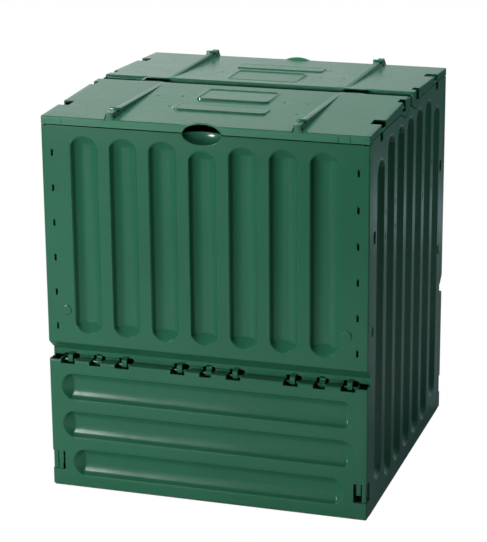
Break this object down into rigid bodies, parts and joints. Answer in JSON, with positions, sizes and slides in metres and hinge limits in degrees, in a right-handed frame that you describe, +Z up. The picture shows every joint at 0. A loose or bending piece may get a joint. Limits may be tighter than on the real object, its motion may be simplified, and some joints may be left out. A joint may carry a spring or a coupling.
{
  "type": "compost bin",
  "caption": "Square garden compost bin with ribbed walls, a gabled two-part hinged lid and an upward-opening emptying flap front and rear.",
  "frame": {"origin": "on the ground under the middle of the bin", "axes": "+Z up, -Y towards the front wall and flap, +X to the right seen from the front"},
  "size_m": [0.8048, 0.8056, 0.9568],
  "materials": {
    "green_plastic": "moulded polypropylene with a light sheen"
  },
  "bodies": {
    "bin": {"side_wall_right": "green_plastic", "side_wall_left": "green_plastic", "front_wall": "green_plastic", "rear_wall": "green_plastic", "ridge_beam": "green_plastic", "lock_stud_front_left": "green_plastic", "lock_stud_front_right": "green_plastic", "lock_stud_rear_left": "green_plastic", "lock_stud_rear_right": "green_plastic"},
    "front_flap_body": {"front_flap": "green_plastic"},
    "rear_flap_body": {"rear_flap": "green_plastic"},
    "front_lid_body": {"front_lid": "green_plastic"},
    "rear_lid_body": {"rear_lid": "green_plastic"}
  },
  "joints": [
    {"name": "front_flap_hinge", "type": "hinge", "parent": "bin", "child": "front_flap_body", "pos_m": [0, -0.376, 0.324], "axis": [-1, 0, 0], "range_deg": [0, 90]},
    {"name": "rear_flap_hinge", "type": "hinge", "parent": "bin", "child": "rear_flap_body", "pos_m": [0, 0.376, 0.324], "axis": [1, 0, 0], "range_deg": [0, 90]},
    {"name": "front_lid_hinge", "type": "hinge", "parent": "bin", "child": "front_lid_body", "pos_m": [0, -0.028, 0.937], "axis": [-1, 0, 0], "range_deg": [0, 90]},
    {"name": "rear_lid_hinge", "type": "hinge", "parent": "bin", "child": "rear_lid_body", "pos_m": [0, 0.028, 0.937], "axis": [1, 0, 0], "range_deg": [0, 90]}
  ]
}
